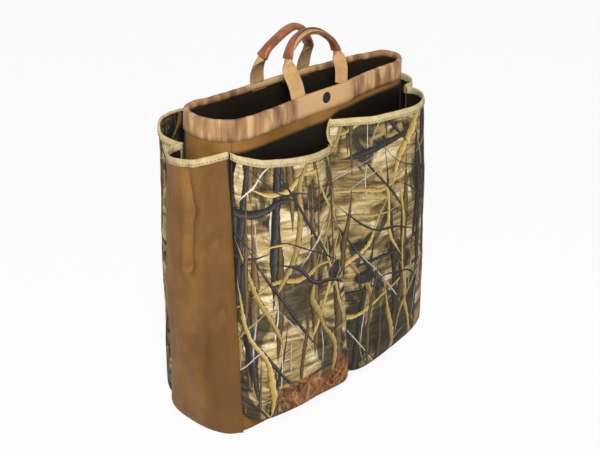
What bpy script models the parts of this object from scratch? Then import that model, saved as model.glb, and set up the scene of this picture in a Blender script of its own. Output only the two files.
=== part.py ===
"""Soft field tote: five fabric panels, a lining, six outside pockets and two swinging carry handles.

Metres, +Z up. X runs along the bag, the front faces -Y, and the origin is under its middle.
The bag is the same from both sides: turning it half round about Z lays it on itself.
"""
import math

import bmesh
import bpy
from mathutils import Matrix, Vector

COLLECTION_NAME = "field_tote"

# Body
BODY_LENGTH = 0.380
BASE_DEPTH = 0.118
MOUTH_DEPTH = 0.086
RIM_HEIGHT = 0.451
BASE_CORNER_RADIUS = 0.040
MOUTH_CORNER_RADIUS = 0.036
CORNER_STEPS = 8
SEAM_SHARE = 0.375            # how far round a corner the front and back panels reach before their seam

# Cloth and trim thicknesses
CLOTH = 0.0016
LINING_CLOTH = 0.0010
BASE_CLOTH = 0.0020
BASE_BOARD = 0.0030
GAP = 0.0003                  # clearance between pieces that are sewn or laid together

# Mouth
BAND_HEIGHT = 0.028
BAND_THICKNESS = 0.0014
FACING_HEIGHT = 0.0075
FACING_THICKNESS = 0.0012

# Pockets
CAMO_POCKET_BASE = 0.020      # height of the four long pockets' floors above the ground
END_POCKET_BASE = 0.003
TALL_POCKET_DROP = 0.045      # from the bag's rim down to the tall pocket's rim
LOW_POCKET_SEAM_DROP = 0.045  # down to the low pocket's rim at the bag's corner
LOW_POCKET_INNER_DROP = 0.080    # and at the middle divider
END_POCKET_DROP = 0.047
LONG_POCKET_BASE_BULGE = 0.038
LONG_POCKET_RIM_BULGE = 0.048
LONG_POCKET_BELLY = 0.004
END_POCKET_BASE_BULGE = 0.026
END_POCKET_RIM_BULGE = 0.036
END_POCKET_BELLY = 0.001
BASE_SQUARENESS = 3.6         # superellipse powers: a pocket is boxy at its floor and rounder at its rim
RIM_SQUARENESS = 2.5
POCKET_STEPS = 16
POCKET_LEVELS = (0.0, 0.12, 0.35, 0.6, 0.82, 1.0)
SEAM_OFFSET = 0.06            # how far from a body seam a pocket edge is sewn, in quarter turns of the corner
BINDING_HEIGHT = 0.009
BINDING_THICKNESS = 0.0008
BINDING_END_TRIM = 0.0035

# Handles
WEBBING_WIDTH = 0.0254
WEBBING_THICKNESS = 0.0016
LEG_SPACING = 0.082
TAIL_LENGTH = 0.024
HANDLE_RISE = 0.0785
SHOULDER_RISE = 0.043
SHOULDER_SPREAD = 0.009       # how far each leg splays out between the rim and the grip
HANDLE_LEAN = 0.019           # how far a handle leans over the mouth
CORE_WIDTH = 0.0127           # webbing folded in half inside the grip
CORE_THICKNESS = 0.0050
FOLD_LENGTH = 0.010           # length over which the webbing folds
GRIP_LEATHER = 0.0012
PATH_STEPS = 5
GRIP_CORNER_STEPS = 2

# Snap
SNAP_DROP = 0.011             # below the rim
SNAP_CAP_RADIUS = 0.0077
SNAP_CAP_RISE = 0.0022
SNAP_SHANK_RADIUS = 0.0021
SNAP_SOCKET_RADIUS = 0.0055
SNAP_SOCKET_RISE = 0.0022
SNAP_STUD_RADIUS = 0.0034
SNAP_STUD_RISE = 0.0032
SNAP_PUNCH_DEPTH = 0.024      # reaches through the band, the panel and the lining
SNAP_STEPS = 20

# Worked out from the values above
HALF_LENGTH = BODY_LENGTH / 2
TAIL_INSET = CLOTH + GAP
LINING_INSET = TAIL_INSET + WEBBING_THICKNESS + GAP
FACING_INSET = LINING_INSET + LINING_CLOTH + GAP
PANEL_BASE = BASE_CLOTH + GAP
BOARD_BASE = BASE_CLOTH + GAP
LINING_BASE = BOARD_BASE + BASE_BOARD + GAP
DIVIDER_HALF_GAP = GAP / 2 + BINDING_THICKNESS + GAP
PIVOT_HEIGHT = RIM_HEIGHT + WEBBING_THICKNESS / 2 + GAP / 2    # a turning leg just clears the rim
GRIP_CORNER_RADIUS = GRIP_LEATHER + GAP
SEAM_WIDTH = GAP + CLOTH * math.radians(90) / CORNER_STEPS     # facets tilt a cut edge by half a step
SEAM_GAP_TURN = SEAM_WIDTH / (math.pi * MOUTH_CORNER_RADIUS)
HALF_TURN = 4                 # the outline's eight stretches are counted from the front face, anticlockwise
CORNER_SIGNS = ((1, -1), (1, 1), (-1, 1), (-1, -1))

FINISHES = {
    "tan_nylon": ((0.30, 0.17, 0.07, 1.0), 0.70, 0.0),
    "dark_lining": ((0.018, 0.013, 0.010, 1.0), 0.75, 0.0),
    "ribbed_band": ((0.36, 0.22, 0.14, 1.0), 0.70, 0.0),
    "tan_webbing": ((0.46, 0.29, 0.15, 1.0), 0.70, 0.0),
    "cognac_leather": ((0.27, 0.08, 0.03, 1.0), 0.45, 0.0),
    "khaki_binding": ((0.42, 0.34, 0.19, 1.0), 0.75, 0.0),
    "reed_camo": ((0.22, 0.17, 0.09, 1.0), 0.80, 0.0),
    "stiff_board": ((0.05, 0.05, 0.05, 1.0), 0.60, 0.0),
    "black_snap": ((0.01, 0.01, 0.01, 1.0), 0.30, 0.4),
}


def clear_scene():
    for thing in list(bpy.data.objects):
        bpy.data.objects.remove(thing, do_unlink=True)


def make_collection(name):
    collection = bpy.data.collections.new(name)
    bpy.context.scene.collection.children.link(collection)
    return collection


def make_finishes():
    finishes = {}
    for name, (colour, roughness, metallic) in FINISHES.items():
        finish = bpy.data.materials.new(name)
        finish.use_nodes = True
        shader = finish.node_tree.nodes["Principled BSDF"]
        shader.inputs["Base Color"].default_value = colour
        shader.inputs["Roughness"].default_value = roughness
        shader.inputs["Metallic"].default_value = metallic
        finishes[name] = finish
    return finishes


def lerp(low, high, share):
    return low + (high - low) * share


def smooth_step(share):
    share = min(max(share, 0.0), 1.0)
    return share * share * (3 - 2 * share)


# ---- the body's outline -------------------------------------------------------------------------

def outline_sizes(z):
    """Half depth and corner radius of the body's outer face at height z."""
    rise = z / RIM_HEIGHT
    half_depth = lerp(BASE_DEPTH, MOUTH_DEPTH, rise) / 2
    return half_depth, lerp(BASE_CORNER_RADIUS, MOUTH_CORNER_RADIUS, rise)


def corner_point(corner, share, z, inset):
    half_depth, radius = outline_sizes(z)
    sign_x, sign_y = CORNER_SIGNS[corner % 4]
    angle = math.radians(90) * (corner % 4 - 1 + share)
    x = sign_x * (HALF_LENGTH - radius) + (radius - inset) * math.cos(angle)
    y = sign_y * (half_depth - radius) + (radius - inset) * math.sin(angle)
    return Vector((x, y, z))


def wall_point(turn, z, inset=0.0):
    """A point on the wall: whole turns are the straights' ends, and odd stretches are the corners."""
    stretch = math.floor(turn)
    share = turn - stretch
    corner = stretch // 2
    if stretch % 2:
        return corner_point(corner, share, z, inset)
    return corner_point(corner - 1, 1.0, z, inset).lerp(corner_point(corner, 0.0, z, inset), share)


def face_turn(x):
    """The turn at which the front face stands at this x, at the rim."""
    return 0.5 + x / (BODY_LENGTH - 2 * MOUTH_CORNER_RADIUS)


def stations(start, stop):
    """Turns from start to stop: a corner is cut in equal steps and a straight has only its ends."""
    turns = [start]
    for stretch in range(math.floor(start), math.ceil(stop)):
        steps = CORNER_STEPS if stretch % 2 else 1
        turns += [stretch + step / steps for step in range(steps)]
    inside = [turn for turn in turns[1:] if start + 1e-6 < turn < stop - 1e-6]
    return [start] + inside + [stop]


# ---- surfaces -----------------------------------------------------------------------------------

def add_object(name, mesh, finish, collection):
    thing = bpy.data.objects.new(name, mesh)
    mesh.materials.append(finish)
    collection.objects.link(thing)
    return thing


def grid_mesh(name, rows, loop=False, floor=None):
    """Open surface through rows of points, bottom row first, each running left to right from outside.

    A floor is the list of points that closes the bottom row, carried on from its last point.
    """
    mesh = bpy.data.meshes.new(name)
    form = bmesh.new()
    grid = [[form.verts.new(point) for point in row] for row in rows]
    count = len(rows[0])
    for lower, upper in zip(grid, grid[1:]):
        for index in range(count if loop else count - 1):
            following = (index + 1) % count
            form.faces.new((lower[index], lower[following], upper[following], upper[index]))
    if floor is not None:
        rest = [form.verts.new(point) for point in floor]
        form.faces.new(list(reversed(grid[0] + rest)))
    form.to_mesh(mesh)
    form.free()
    return mesh


def thicken(thing, thickness):
    """Turn an open surface into a sheet, growing inwards from it."""
    shell = thing.modifiers.new("thickness", "SOLIDIFY")
    shell.thickness = thickness
    shell.offset = -1
    shell.use_even_offset = True


def wall_sheet(name, start, stop, low, high, inset, thickness, finish, collection):
    """A sheet that follows the body's wall between two turns; eight turns make it a ring."""
    whole = stop - start >= 8
    turns = stations(start, stop)
    if whole:
        turns = turns[:-1]
    rows = [[wall_point(turn, z, inset) for turn in turns] for z in (low, high)]
    thing = add_object(name, grid_mesh(name, rows, loop=whole), finish, collection)
    thicken(thing, thickness)
    return thing


# ---- body ---------------------------------------------------------------------------------------

def build_panels(finishes, collection):
    """Front and back panels reach round the corners to the seams; the gussets close the ends."""
    spans = {
        "body_front_panel": (-SEAM_SHARE, 1 + SEAM_SHARE),
        "body_right_gusset": (1 + SEAM_SHARE, 4 - SEAM_SHARE),
        "body_back_panel": (4 - SEAM_SHARE, 5 + SEAM_SHARE),
        "body_left_gusset": (5 + SEAM_SHARE, 8 - SEAM_SHARE),
    }
    panels = {}
    for name, (start, stop) in spans.items():
        panels[name] = wall_sheet(name, start + SEAM_GAP_TURN, stop - SEAM_GAP_TURN, PANEL_BASE, RIM_HEIGHT,
                                  0.0, CLOTH, finishes["tan_nylon"], collection)
    return panels


def build_plate(name, base, inset, thickness, finish, collection):
    """A flat plate with the body's outline, standing on height base."""
    outline = [wall_point(turn, base, inset) for turn in stations(0, 8)[:-1]]
    mesh = bpy.data.meshes.new(name)
    form = bmesh.new()
    form.faces.new([form.verts.new(point) for point in reversed(outline)])
    form.to_mesh(mesh)
    form.free()
    thing = add_object(name, mesh, finish, collection)
    thicken(thing, thickness)
    return thing


def build_lining(finishes, collection):
    """The dark inner tub, hung from the rim with the board under its floor."""
    turns = stations(0, 8)[:-1]
    rows = [[wall_point(turn, z, LINING_INSET) for turn in turns] for z in (LINING_BASE, RIM_HEIGHT)]
    thing = add_object("lining", grid_mesh("lining", rows, loop=True, floor=[]),
                       finishes["dark_lining"], collection)
    thicken(thing, LINING_CLOTH)
    return thing


def build_mouth(finishes, collection):
    """The wide band outside the rim and the narrow facing inside it."""
    band = wall_sheet("mouth_band", 0, 8, RIM_HEIGHT - BAND_HEIGHT, RIM_HEIGHT, -(GAP + BAND_THICKNESS),
                      BAND_THICKNESS, finishes["ribbed_band"], collection)
    wall_sheet("rim_facing", 0, 8, RIM_HEIGHT - FACING_HEIGHT, RIM_HEIGHT, FACING_INSET,
               FACING_THICKNESS, finishes["ribbed_band"], collection)
    return band


# ---- pockets ------------------------------------------------------------------------------------

def pocket_sizes(side):
    """Start and stop turns, base, start and stop rim heights and bulges of each kind of pocket."""
    seam = SEAM_SHARE - SEAM_OFFSET
    end_seam = SEAM_SHARE + SEAM_OFFSET
    long_bulges = (LONG_POCKET_BASE_BULGE, LONG_POCKET_RIM_BULGE, LONG_POCKET_BELLY)
    end_bulges = (END_POCKET_BASE_BULGE, END_POCKET_RIM_BULGE, END_POCKET_BELLY)
    kinds = {
        "low": (-seam, face_turn(-DIVIDER_HALF_GAP), CAMO_POCKET_BASE,
                RIM_HEIGHT - LOW_POCKET_SEAM_DROP, RIM_HEIGHT - LOW_POCKET_INNER_DROP, long_bulges),
        "tall": (face_turn(DIVIDER_HALF_GAP), 1 + seam, CAMO_POCKET_BASE,
                 RIM_HEIGHT - TALL_POCKET_DROP, RIM_HEIGHT - TALL_POCKET_DROP, long_bulges),
        "end": (1 + end_seam, 4 - end_seam, END_POCKET_BASE,
                RIM_HEIGHT - END_POCKET_DROP, RIM_HEIGHT - END_POCKET_DROP, end_bulges),
    }
    return kinds[side]


def pocket_point(sizes, level, share):
    """Outer face of a pocket: level runs up from floor to rim and share from its start to its stop seam."""
    start, stop, base, start_rim, stop_rim, (base_bulge, rim_bulge, belly) = sizes
    power = 2 / lerp(BASE_SQUARENESS, RIM_SQUARENESS, level)
    angle = math.pi * share
    across = math.cos(angle)
    along = (1 - math.copysign(abs(across) ** power, across)) / 2
    bulge = lerp(base_bulge, rim_bulge, level) + belly * math.sin(math.pi * level)
    z = lerp(base, lerp(start_rim, stop_rim, along), level)
    first = wall_point(start, z, -(GAP + CLOTH))
    last = wall_point(stop, z, -(GAP + CLOTH))
    chord = (last - first).normalized()
    outward = Vector((chord.y, -chord.x, 0))
    return first.lerp(last, along) + outward * bulge * math.sin(angle) ** power


def pocket_row(sizes, level):
    shares = [step / POCKET_STEPS for step in range(POCKET_STEPS + 1)]
    return [pocket_point(sizes, level, share) for share in shares]


def half_turned(points):
    return [Vector((-point.x, -point.y, point.z)) for point in points]


def build_pocket(name, side, behind, finish, collection):
    """A pouch sewn to the wall along both sides and its floor; behind turns it half round."""
    sizes = pocket_sizes(side)
    start, stop, base = sizes[:3]
    rows = [pocket_row(sizes, level) for level in POCKET_LEVELS]
    floor = [wall_point(turn, base, -GAP) for turn in reversed(stations(start, stop))]
    if behind:
        rows = [half_turned(row) for row in rows]
        floor = half_turned(floor)
    thing = add_object(name, grid_mesh(name, rows, floor=floor), finish, collection)
    thicken(thing, CLOTH)
    return thing


def binding_rows(sizes):
    """The pocket's outer face at its rim and one tape's height below it, both cut back at the seams."""
    rim = pocket_row(sizes, POCKET_LEVELS[-1])
    below = pocket_row(sizes, POCKET_LEVELS[-2])
    drop = [top.lerp(low, BINDING_HEIGHT / (top.z - low.z)) for top, low in zip(rim, below)]
    first = BINDING_END_TRIM / (rim[1] - rim[0]).length
    last = BINDING_END_TRIM / (rim[-2] - rim[-1]).length
    return [[row[0].lerp(row[1], first)] + row[1:-1] + [row[-1].lerp(row[-2], last)] for row in (rim, drop)]


def shifted(row, distance, rise):
    """The row moved outwards by distance, square to itself in plan, and up by rise."""
    moved = []
    for index, point in enumerate(row):
        before = row[max(index - 1, 0)]
        after = row[min(index + 1, len(row) - 1)]
        into = ((point - before) if index else (after - point)).to_2d().normalized()
        out = ((after - point) if index < len(row) - 1 else (point - before)).to_2d().normalized()
        normal = Vector((into.y + out.y, -into.x - out.x)).normalized()
        stretch = distance / normal.dot(Vector((into.y, -into.x)))
        moved.append(point + Vector((normal.x * stretch, normal.y * stretch, rise)))
    return moved


def build_binding(name, side, behind, finish, collection):
    """Tape folded over a pocket's rim: down its outside, over its edge and down its inside."""
    rim, drop = binding_rows(pocket_sizes(side))
    outside = GAP + BINDING_THICKNESS
    inside = -(CLOTH + GAP + BINDING_THICKNESS)
    rows = [shifted(drop, outside, 0), shifted(rim, outside, outside),
            shifted(rim, inside, outside), shifted(drop, inside, 0)]
    if behind:
        rows = [half_turned(row) for row in rows]
    thing = add_object(name, grid_mesh(name, rows), finish, collection)
    thicken(thing, BINDING_THICKNESS)
    return thing


def build_pockets(finishes, collection):
    plan = (
        ("front_left_pocket", "low", False, "reed_camo"),
        ("front_right_pocket", "tall", False, "reed_camo"),
        ("right_end_pocket", "end", False, "tan_nylon"),
        ("back_right_pocket", "low", True, "reed_camo"),
        ("back_left_pocket", "tall", True, "reed_camo"),
        ("left_end_pocket", "end", True, "tan_nylon"),
    )
    for name, side, behind, finish in plan:
        build_pocket(name, side, behind, finishes[finish], collection)
        build_binding(name + "_binding", side, behind, finishes["khaki_binding"], collection)


# ---- handles ------------------------------------------------------------------------------------

def leg_foot():
    """Middle of a handle's left leg at its fold line, between the front panel and the lining."""
    foot = wall_point(face_turn(-LEG_SPACING / 2), RIM_HEIGHT, TAIL_INSET + WEBBING_THICKNESS / 2)
    return Vector((-LEG_SPACING / 2, foot.y, PIVOT_HEIGHT))


def handle_keys():
    """Knots of the handle's centre line above its feet, from the left foot to the top: (x, rise)."""
    foot = LEG_SPACING / 2
    shoulder = foot + SHOULDER_SPREAD
    arch = HANDLE_RISE - SHOULDER_RISE
    return ((-foot, 0.0),
            (-foot - SHOULDER_SPREAD * 0.45, SHOULDER_RISE * 0.5),
            (-shoulder, SHOULDER_RISE),
            (-shoulder * 0.90, SHOULDER_RISE + arch * 0.50),
            (-shoulder * 0.54, SHOULDER_RISE + arch * 0.90),
            (0.0, HANDLE_RISE))


def spline_through(knots, steps):
    """Points on a smooth curve through every knot."""
    ends = [knots[0] * 2 - knots[1]] + knots + [knots[-1] * 2 - knots[-2]]
    points = []
    for before, start, stop, after in zip(ends, ends[1:], ends[2:], ends[3:]):
        for step in range(steps):
            share = step / steps
            bend = (2 * before - 5 * start + 4 * stop - after) * share ** 2
            turn = (3 * start - before - 3 * stop + after) * share ** 3
            points.append((2 * start + (stop - before) * share + bend + turn) / 2)
    return points + [knots[-1]]


def handle_path():
    """Centre line of the front handle, from its left foot over the top to its right foot."""
    half = [Vector((x, 0, rise)) for x, rise in handle_keys()]
    knots = half + [Vector((-knot.x, 0, knot.z)) for knot in reversed(half[:-1])]
    foot = leg_foot()
    path = []
    for point in spline_through(knots, PATH_STEPS):
        lean = HANDLE_LEAN * smooth_step(point.z / SHOULDER_RISE)
        path.append(Vector((point.x, foot.y + lean, foot.z + point.z)))
    return path


def path_frames(path):
    """For each point of the path its outward and sideways directions; both feet are cut level."""
    frames = []
    for index, point in enumerate(path):
        ahead = path[min(index + 1, len(path) - 1)] - path[max(index - 1, 0)]
        if index in (0, len(path) - 1):
            ahead = Vector((0, 0, ahead.z))
        outward = Vector((-ahead.z, 0, ahead.x)).normalized()
        frames.append((point, outward, outward.cross(ahead).normalized()))
    return frames


def path_lengths(path):
    """Length of the path from the nearer foot to each of its points."""
    run = [0.0]
    for before, after in zip(path, path[1:]):
        run.append(run[-1] + (after - before).length)
    return [min(length, run[-1] - length) for length in run]


def leg_length():
    """Length of the leg from its foot to the start of the grip."""
    return math.hypot(SHOULDER_RISE, math.hypot(SHOULDER_SPREAD, HANDLE_LEAN))


def build_handle_webbing(name, finish, collection):
    """Flat webbing in the legs, folded to a narrow core where the leather wraps it."""
    path = handle_path()
    mesh = bpy.data.meshes.new(name)
    form = bmesh.new()
    rings = []
    for (point, outward, sideways), length in zip(path_frames(path), path_lengths(path)):
        fold = smooth_step((length - leg_length() + FOLD_LENGTH) / FOLD_LENGTH)
        wide = outward * lerp(WEBBING_WIDTH, CORE_THICKNESS, fold) / 2
        deep = sideways * lerp(WEBBING_THICKNESS, CORE_WIDTH, fold) / 2
        corners = (point + wide + deep, point - wide + deep, point - wide - deep, point + wide - deep)
        rings.append([form.verts.new(corner) for corner in corners])
    for ring, following in zip(rings, rings[1:]):
        for side in range(4):
            near = (side + 1) % 4
            form.faces.new((ring[side], ring[near], following[near], following[side]))
    form.faces.new(list(reversed(rings[0])))
    form.faces.new(rings[-1])
    bmesh.ops.recalc_face_normals(form, faces=form.faces)
    form.to_mesh(mesh)
    form.free()
    return add_object(name, mesh, finish, collection)


def grip_section():
    """Outline of the leather's outer face as (outward, sideways), in the order that faces it outwards."""
    half_thick = CORE_THICKNESS / 2 + GAP + GRIP_LEATHER
    half_wide = CORE_WIDTH / 2 + GAP + GRIP_LEATHER
    section = []
    for quarter, (sign_out, sign_side) in enumerate(((1, 1), (-1, 1), (-1, -1), (1, -1))):
        for step in range(GRIP_CORNER_STEPS + 1):
            angle = math.radians(90) * (quarter + step / GRIP_CORNER_STEPS)
            section.append((sign_out * (half_thick - GRIP_CORNER_RADIUS) + GRIP_CORNER_RADIUS * math.cos(angle),
                            sign_side * (half_wide - GRIP_CORNER_RADIUS) + GRIP_CORNER_RADIUS * math.sin(angle)))
    return list(reversed(section))


def build_grip(name, finish, collection):
    """The leather sleeve round the folded webbing."""
    path = handle_path()
    rows = []
    for (point, outward, sideways), length in zip(path_frames(path), path_lengths(path)):
        if length > leg_length() + FOLD_LENGTH / 4:
            rows.append([point + outward * out + sideways * side for out, side in grip_section()])
    thing = add_object(name, grid_mesh(name, rows, loop=True), finish, collection)
    thicken(thing, GRIP_LEATHER)
    return thing


def turn_about_z(thing, angle):
    """Turn a piece's own mesh about the bag's middle."""
    thing.data.transform(Matrix.Rotation(angle, 4, "Z"))


def build_tails(prefix, start_turn, finish, collection):
    """The sewn ends of the handle's webbing, between the panel and the lining."""
    for name, centre in (("left", -LEG_SPACING / 2), ("right", LEG_SPACING / 2)):
        first = start_turn + face_turn(centre - WEBBING_WIDTH / 2)
        last = start_turn + face_turn(centre + WEBBING_WIDTH / 2)
        wall_sheet(f"{prefix}_{name}_tail", first, last, RIM_HEIGHT - TAIL_LENGTH, RIM_HEIGHT,
                   TAIL_INSET, WEBBING_THICKNESS, finish, collection)


def build_handles(finishes, collection):
    """Both handles; each hangs from an empty on its fold line, where it swings about X."""
    foot = leg_foot()
    for prefix, angle, turn in (("front_handle", 0.0, 0), ("back_handle", math.pi, HALF_TURN)):
        pivot = bpy.data.objects.new(prefix + "_pivot", None)
        collection.objects.link(pivot)
        pivot.location = Matrix.Rotation(angle, 3, "Z") @ Vector((0, foot.y, foot.z))
        webbing = build_handle_webbing(prefix + "_webbing", finishes["tan_webbing"], collection)
        grip = build_grip(prefix + "_grip", finishes["cognac_leather"], collection)
        for piece in (webbing, grip):
            turn_about_z(piece, angle)
            piece.data.transform(Matrix.Translation(-pivot.location))
            piece.parent = pivot
        build_tails(prefix, turn, finishes["tan_webbing"], collection)


# ---- snap ---------------------------------------------------------------------------------------

def turned(name, profile, finish, collection):
    """A turned piece: the profile runs down its outer side as (radius, height)."""
    mesh = bpy.data.meshes.new(name)
    points = [(radius, 0, height) for radius, height in profile]
    mesh.from_pydata(points, [(index, index + 1) for index in range(len(points) - 1)], [])
    thing = add_object(name, mesh, finish, collection)
    screw = thing.modifiers.new("turn", "SCREW")
    screw.steps = SNAP_STEPS
    screw.render_steps = SNAP_STEPS
    screw.use_merge_vertices = True
    screw.merge_threshold = 0.00001
    return thing


def ring_profile(bore, radius, rise):
    """A closed profile of a ring standing on height 0."""
    return ((bore, rise), (radius * 0.85, rise), (radius, rise * 0.7), (radius, 0), (bore, 0), (bore, rise))


def build_snap(side, behind, inner_name, inner_radius, inner_rise, finishes, collection):
    """A cap outside the band, its shank through the layers, and the mating half inside the mouth."""
    z = RIM_HEIGHT - SNAP_DROP
    outer = wall_point(0.5, z, -(GAP + BAND_THICKNESS + GAP))
    lean = math.atan2((BASE_DEPTH - MOUTH_DEPTH) / 2, RIM_HEIGHT)
    stack = GAP + BAND_THICKNESS + GAP + FACING_INSET + FACING_THICKNESS + GAP
    shank_end = -stack - inner_rise * 0.5
    bore = SNAP_SHANK_RADIUS + GAP
    cap = turned(f"{side}_snap_cap", (
        (0, SNAP_CAP_RISE), (SNAP_CAP_RADIUS * 0.55, SNAP_CAP_RISE * 0.9),
        (SNAP_CAP_RADIUS * 0.88, SNAP_CAP_RISE * 0.55), (SNAP_CAP_RADIUS, SNAP_CAP_RISE * 0.2),
        (SNAP_CAP_RADIUS, 0), (SNAP_SHANK_RADIUS, 0), (SNAP_SHANK_RADIUS, shank_end), (0, shank_end)),
        finishes["black_snap"], collection)
    mate = turned(inner_name, ring_profile(bore, inner_radius, inner_rise), finishes["black_snap"], collection)
    facing = Matrix.Rotation(math.pi if behind else 0.0, 4, "Z")
    outwards = Matrix.Rotation(math.pi / 2 - lean, 4, "X")
    cap.matrix_world = facing @ Matrix.Translation(outer) @ outwards
    mate.matrix_world = cap.matrix_world @ Matrix.Translation((0, 0, -stack)) @ Matrix.Rotation(math.pi, 4, "X")
    return cap


def punch(layers, cap, cutters):
    """Pierce each layer where a cap's shank goes through it."""
    bpy.ops.mesh.primitive_cylinder_add(vertices=SNAP_STEPS, radius=SNAP_SHANK_RADIUS + GAP,
                                        depth=SNAP_PUNCH_DEPTH)
    punch_tool = bpy.context.active_object
    punch_tool.name = cap.name + "_punch"
    for holder in list(punch_tool.users_collection):
        holder.objects.unlink(punch_tool)
    cutters.objects.link(punch_tool)
    punch_tool.matrix_world = cap.matrix_world
    punch_tool.hide_render = True
    punch_tool.display_type = "WIRE"
    for layer in layers:
        cut = layer.modifiers.new(cap.name, "BOOLEAN")
        cut.object = punch_tool


def build_snaps(band, panels, lining, finishes, collection, cutters):
    front = build_snap("front", False, "front_snap_socket", SNAP_SOCKET_RADIUS, SNAP_SOCKET_RISE,
                       finishes, collection)
    back = build_snap("back", True, "back_snap_stud", SNAP_STUD_RADIUS, SNAP_STUD_RISE,
                      finishes, collection)
    punch((band, panels["body_front_panel"], lining), front, cutters)
    punch((band, panels["body_back_panel"], lining), back, cutters)


def shade(collection):
    """Smooth shading, with sharp edges kept on folds and rims."""
    for thing in collection.objects:
        if thing.type == "MESH":
            thing.data.shade_smooth()
            thing.data.set_sharp_from_angle(angle=math.radians(40))


def main():
    clear_scene()
    collection = make_collection(COLLECTION_NAME)
    cutters = make_collection("cutters")
    finishes = make_finishes()
    panels = build_panels(finishes, collection)
    build_plate("base_panel", 0.0, 0.0, BASE_CLOTH, finishes["tan_nylon"], collection)
    build_plate("base_board", BOARD_BASE, LINING_INSET, BASE_BOARD, finishes["stiff_board"], collection)
    lining = build_lining(finishes, collection)
    band = build_mouth(finishes, collection)
    build_pockets(finishes, collection)
    build_handles(finishes, collection)
    build_snaps(band, panels, lining, finishes, collection, cutters)
    shade(collection)


main()
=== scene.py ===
import math
import bpy
import bmesh
import numpy as np
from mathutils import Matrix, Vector, noise


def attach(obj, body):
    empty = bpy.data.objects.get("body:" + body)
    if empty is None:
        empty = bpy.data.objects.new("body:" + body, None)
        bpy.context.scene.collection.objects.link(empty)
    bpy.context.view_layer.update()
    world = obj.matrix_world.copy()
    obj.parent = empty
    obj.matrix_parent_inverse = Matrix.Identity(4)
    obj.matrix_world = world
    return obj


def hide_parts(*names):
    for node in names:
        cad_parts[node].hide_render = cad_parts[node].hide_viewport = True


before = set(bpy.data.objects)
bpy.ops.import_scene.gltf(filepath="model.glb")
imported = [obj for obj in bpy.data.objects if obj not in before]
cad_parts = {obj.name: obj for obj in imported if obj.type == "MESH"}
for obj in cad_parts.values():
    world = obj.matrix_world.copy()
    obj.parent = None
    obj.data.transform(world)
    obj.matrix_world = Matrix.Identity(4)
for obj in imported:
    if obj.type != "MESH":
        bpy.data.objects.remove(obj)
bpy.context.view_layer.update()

print("frame loaded:", len(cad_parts), "nodes")


# curves and surfaces

def mm(points):
    return [[value / 1000 for value in point] for point in points]


def atHeight(height, points):
    return mm([(x, y, height) for x, y in points])


def ruffle(x, y, z):
    return noise.noise(Vector((x, y, z)))


def splinePoints(points, closed):
    pts = np.array(points, float)
    count = len(pts)
    if not closed:
        pts = np.vstack([2 * pts[0] - pts[1], pts, 2 * pts[-1] - pts[-2]])
    dense = []
    share = np.linspace(0, 1, 12, endpoint=False)[:, None]
    for i in range(count if closed else count - 1):
        if closed:
            a, b, c, d = (pts[(i + k) % count] for k in (-1, 0, 1, 2))
        else:
            a, b, c, d = pts[i], pts[i + 1], pts[i + 2], pts[i + 3]
        dense.append(0.5 * (2 * b + (c - a) * share + (2 * a - 5 * b + 4 * c - d) * share ** 2
                            + (3 * b - a - 3 * c + d) * share ** 3))
    dense = np.vstack(dense)
    return np.vstack([dense, dense[:1] if closed else pts[-2:-1]])


def runAlong(points):
    return np.concatenate([[0], np.cumsum(np.linalg.norm(np.diff(points, axis=0), axis=1))])


def evenly(points, count, closed=False):
    # evenly spaced points on a smooth curve through these
    dense = splinePoints(points, closed)
    run = runAlong(dense)
    at = np.linspace(0, run[-1], count + 1)[:-1] if closed else np.linspace(0, run[-1], count)
    return np.stack([np.interp(at, run, dense[:, k]) for k in range(dense.shape[1])], axis=1)


def planNormals(row, closed):
    # outward directions in plan of a row that runs anticlockwise seen from above
    flat = row[:, :2]
    if closed:
        ahead = np.roll(flat, -1, axis=0) - np.roll(flat, 1, axis=0)
    else:
        ahead = np.gradient(flat, axis=0)
    ahead /= np.linalg.norm(ahead, axis=1)[:, None] + 1e-9
    return np.stack([ahead[:, 1], -ahead[:, 0], np.zeros(len(row))], axis=1)


def inScene(name, data):
    made = bpy.data.objects.new(name, data)
    bpy.context.scene.collection.objects.link(made)
    return made


def sheetMesh(name, rows, closed=False, cap=False, thickness=0.0012):
    # a sheet through rows of points, bottom row first, with a UV map in metres along it
    rows = [np.asarray(row) for row in rows]
    count = len(rows[0])
    form = bmesh.new()
    uv = form.loops.layers.uv.new("cloth")
    middle = rows[len(rows) // 2]
    along = runAlong(middle)
    if closed:
        along = np.append(along, along[-1] + np.linalg.norm(middle[0] - middle[-1]))
    heights = [0.0]
    for lower, upper in zip(rows, rows[1:]):
        heights.append(heights[-1] + float(np.mean(np.linalg.norm(upper - lower, axis=1))))
    grid = [[form.verts.new(point) for point in row] for row in rows]
    for r in range(len(rows) - 1):
        for c in range(count if closed else count - 1):
            n = (c + 1) % count
            face = form.faces.new((grid[r][c], grid[r][n], grid[r + 1][n], grid[r + 1][c]))
            spots = ((along[c], heights[r]), (along[c + 1], heights[r]),
                     (along[c + 1], heights[r + 1]), (along[c], heights[r + 1]))
            for loop, spot in zip(face.loops, spots):
                loop[uv].uv = spot
    if cap:
        form.faces.new(list(reversed(grid[0])))
    mesh = bpy.data.meshes.new(name)
    form.to_mesh(mesh)
    form.free()
    piece = inScene(name, mesh)
    mesh.shade_smooth()
    if thickness:
        thicken(piece, thickness)
    return piece


def thicken(piece, thickness):
    shell = piece.modifiers.new("thickness", "SOLIDIFY")
    shell.thickness = thickness
    shell.offset = -1


def paintPoints(piece, name, values):
    attribute = piece.data.attributes.new(name, "FLOAT", "POINT")
    attribute.data.foreach_set("value", values.astype(np.float32))


def closeEnds(piece):
    # close a sheet's open ends and turn its faces outwards
    form = bmesh.new()
    form.from_mesh(piece.data)
    bmesh.ops.holes_fill(form, edges=[edge for edge in form.edges if edge.is_boundary])
    bmesh.ops.recalc_face_normals(form, faces=form.faces)
    form.to_mesh(piece.data)
    form.free()


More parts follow.
